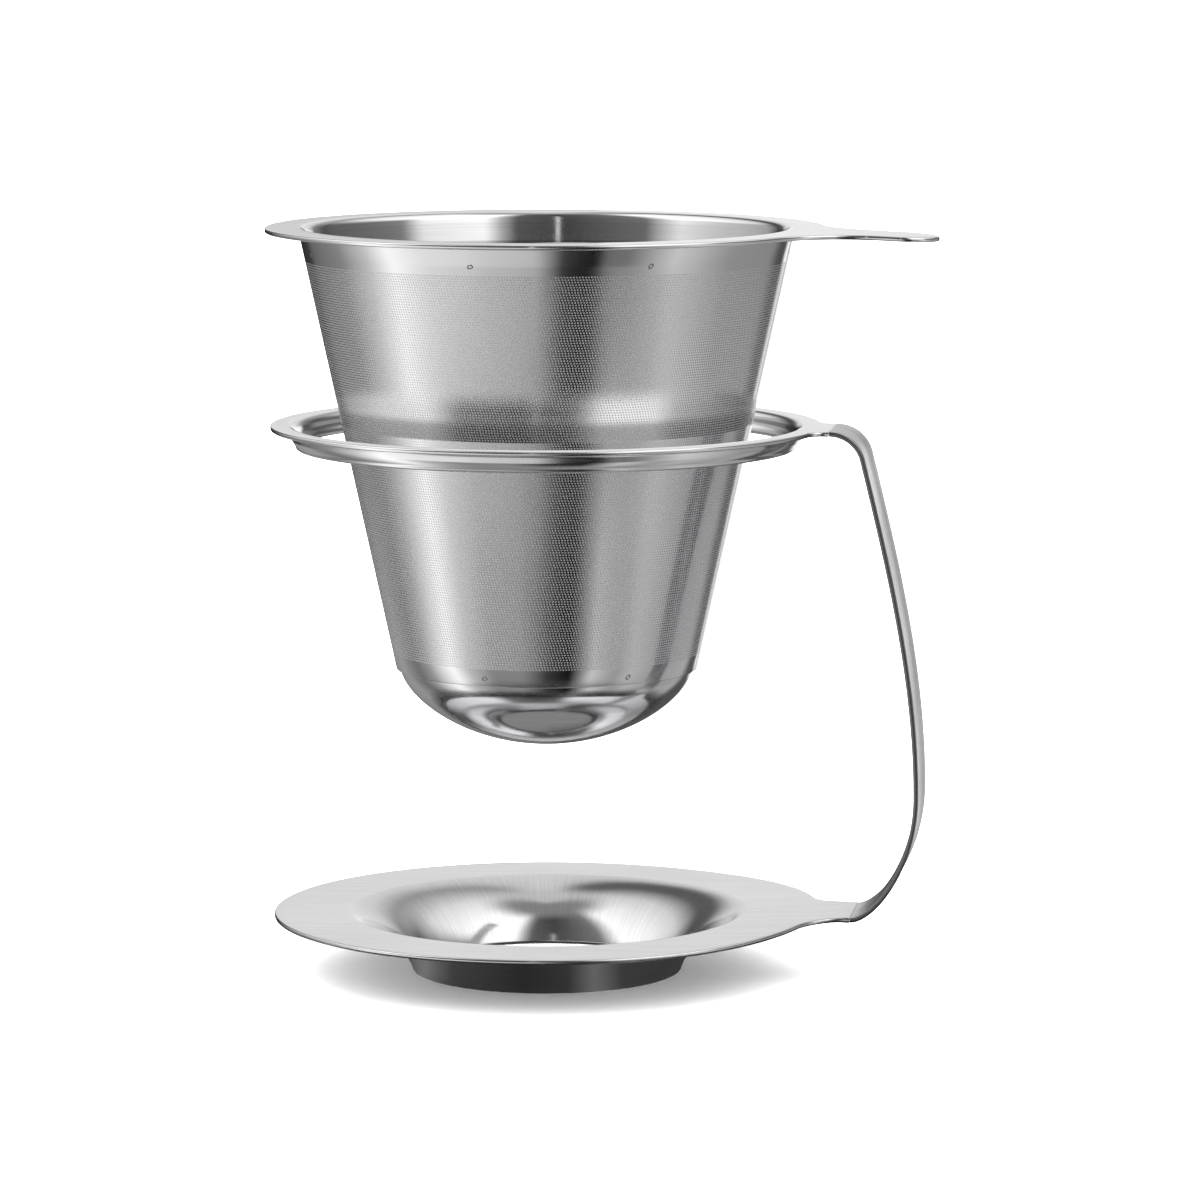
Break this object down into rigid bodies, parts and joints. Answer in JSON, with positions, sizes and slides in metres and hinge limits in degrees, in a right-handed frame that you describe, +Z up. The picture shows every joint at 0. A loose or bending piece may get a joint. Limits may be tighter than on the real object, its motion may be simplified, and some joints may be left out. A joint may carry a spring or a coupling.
{
  "type": "pour over dripper",
  "caption": "Stainless pour over coffee dripper: a reusable etched cone filter with a flat rim and tab, above a C-shaped stand whose ring seats it and whose funnelled base sits on a mug",
  "frame": {"origin": "centre of the bounding box at its bottom, level with the foot of the base plate's throat", "axes": "+Z up and the longest side; +X from the dripper's axis towards the arm; +Y to the back, the shortest side"},
  "size_m": [0.139, 0.1152, 0.154],
  "materials": {
    "rim_steel": "polished stainless sheet with a fine circular grain",
    "etched_sheet": "stainless sheet etched with staggered round holes, plain bright bands at both edges",
    "fine_mesh": "fine woven stainless mesh",
    "cup_steel": "bright drawn stainless sheet",
    "ring_steel": "satin stainless sheet, brighter on the pressed lip",
    "arm_steel": "satin stainless strip brushed along its length",
    "base_steel": "satin stainless sheet, fine radial marks where it is drawn"
  },
  "bodies": {
    "stand": {"support_ring": "ring_steel", "arm": "arm_steel", "base_plate": "base_steel"},
    "filter": {"filter_rim": "rim_steel", "outer_cone": "etched_sheet", "mesh_liner": "fine_mesh", "bottom_cup": "cup_steel"}
  },
  "joints": [
    {"name": "filter_lift", "type": "slide", "parent": "stand", "child": "filter", "axis": [0, 0, 1], "range_m": [-0.0392, 0.07]}
  ]
}
